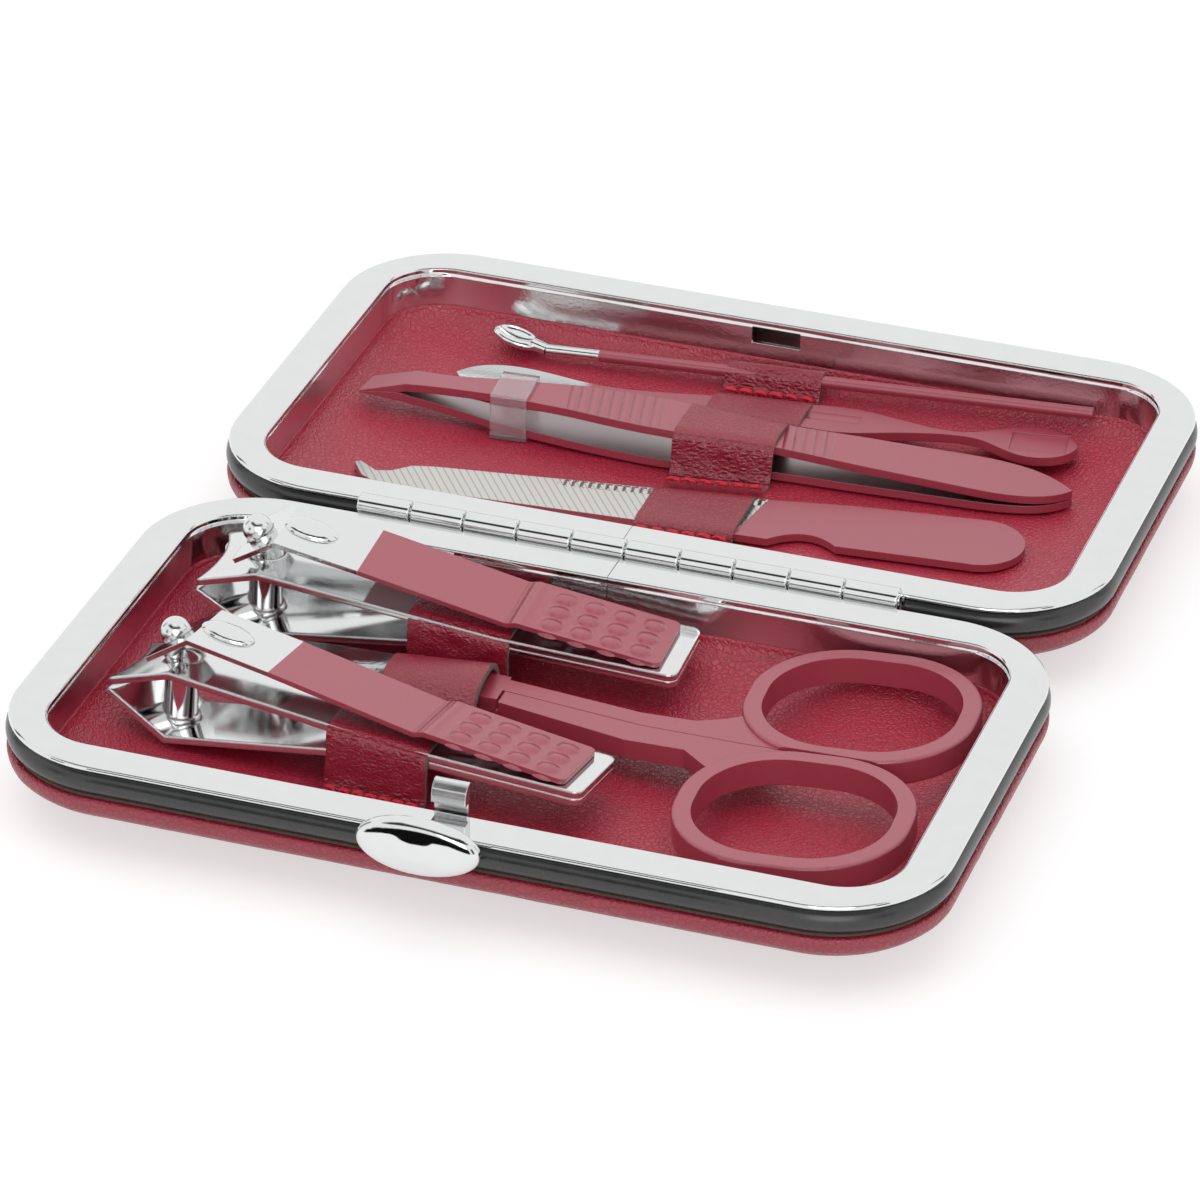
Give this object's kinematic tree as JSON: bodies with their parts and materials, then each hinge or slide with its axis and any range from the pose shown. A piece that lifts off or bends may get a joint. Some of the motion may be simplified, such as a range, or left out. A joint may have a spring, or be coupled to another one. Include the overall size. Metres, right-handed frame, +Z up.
{
  "type": "manicure set case",
  "caption": "Hinged leather-covered case with chromed frames, open flat, holding nail clippers, scissors, tweezers, nail file, cuticle pusher and ear pick under leather loops.",
  "frame": {"origin": "centre of the open case's footprint, on the table", "axes": "+X along the hinge towards the scissors rings, +Y from the bottom half towards the opened lid, +Z up"},
  "size_m": [0.1106, 0.1388, 0.017],
  "materials": {
    "frame_chrome": "polished",
    "hinge_chrome": "polished",
    "band_black": "satin",
    "cover_leather": "grained",
    "lining_leather": "grained",
    "strap_leather": "grained",
    "board_card": "matte",
    "spring_steel": "satin",
    "clasp_chrome": "polished",
    "clipper_chrome": "polished",
    "red_coat": "satin",
    "lever_coat": "satin",
    "scissors_coat": "satin",
    "screw_steel": "satin",
    "file_nickel": "satin",
    "guard_plastic": "clear"
  },
  "bodies": {
    "base": {"base_frame": "frame_chrome", "base_trim_band": "band_black", "base_outer_shell": "cover_leather", "base_board": "board_card", "base_lining": "lining_leather", "base_hinge_leaf": "hinge_chrome", "base_loop_strap": "strap_leather", "hinge_pin": "hinge_chrome", "clasp_spring": "spring_steel", "clipper_a_lower_jaw": "clipper_chrome", "clipper_a_upper_jaw": "clipper_chrome", "clipper_a_post": "clipper_chrome", "clipper_b_lower_jaw": "clipper_chrome", "clipper_b_upper_jaw": "clipper_chrome", "clipper_b_post": "clipper_chrome"},
    "lid": {"lid_frame": "frame_chrome", "lid_trim_band": "band_black", "lid_outer_shell": "cover_leather", "lid_board": "board_card", "lid_lining": "lining_leather", "lid_hinge_leaf": "hinge_chrome", "lid_loop_strap": "strap_leather"},
    "clasp": {"clasp_button": "clasp_chrome", "clasp_hook": "clasp_chrome"},
    "clipper_a_lever": {"clipper_a_lever": "lever_coat"},
    "clipper_b_lever": {"clipper_b_lever": "lever_coat"},
    "scissors": {"scissors_far_half": "scissors_coat", "scissors_screw": "screw_steel"},
    "scissors_near": {"scissors_near_half": "scissors_coat"},
    "tweezers": {"tweezers_upper_arm": "red_coat", "tweezers_lower_arm": "red_coat"},
    "tip_guard": {"tweezers_tip_guard": "guard_plastic"},
    "nail_file": {"nail_file": "file_nickel"},
    "cuticle_pusher": {"cuticle_pusher": "red_coat"},
    "ear_pick": {"ear_pick": "red_coat"}
  },
  "joints": [
    {"name": "lid_hinge", "type": "hinge", "parent": "base", "child": "lid", "pos_m": [0, 0.00183, 0.01165], "axis": [1, 0, 0], "range_deg": [0, 180]},
    {"name": "clasp_press", "type": "slide", "parent": "base", "child": "clasp", "axis": [0, 1, 0], "range_m": [0, 0.0012], "stiffness_N_per_m": 400},
    {"name": "clipper_a_lever_lift", "type": "hinge", "parent": "base", "child": "clipper_a_lever", "pos_m": [-0.04135, -0.03726, 0.01365], "axis": [0.079, 0.9916, -0.1028], "range_deg": [-35, 0]},
    {"name": "clipper_b_lever_lift", "type": "hinge", "parent": "base", "child": "clipper_b_lever", "pos_m": [-0.04034, -0.01361, 0.0149], "axis": [-0.022, 0.9988, 0.0436], "range_deg": [-35, 0]},
    {"name": "scissors_slide", "type": "slide", "parent": "base", "child": "scissors", "axis": [-0.9931, 0.1112, -0.0364], "range_m": [-0.0014, 0]},
    {"name": "scissors_open", "type": "hinge", "parent": "scissors", "child": "scissors_near", "pos_m": [-0.013, -0.02477, 0.00545], "axis": [-0.0366, 0, 0.9993], "range_deg": [-3, 0]},
    {"name": "tweezers_slide", "type": "slide", "parent": "lid", "child": "tweezers", "axis": [0.998, 0.0599, -0.02], "range_m": [-0.002, 0]},
    {"name": "tip_guard_slide", "type": "slide", "parent": "tweezers", "child": "tip_guard", "axis": [0.9976, 0.0698, 0], "range_m": [-0.006, 0]},
    {"name": "nail_file_slide", "type": "slide", "parent": "lid", "child": "nail_file", "axis": [-0.9929, -0.1191, 0], "range_m": [-0.002, 0]},
    {"name": "cuticle_pusher_slide", "type": "slide", "parent": "lid", "child": "cuticle_pusher", "axis": [-0.9973, -0.0718, -0.013], "range_m": [-0.0015, 0]},
    {"name": "ear_pick_slide", "type": "slide", "parent": "lid", "child": "ear_pick", "axis": [0.9984, 0.0439, 0.0359], "range_m": [-0.003, 0]}
  ]
}
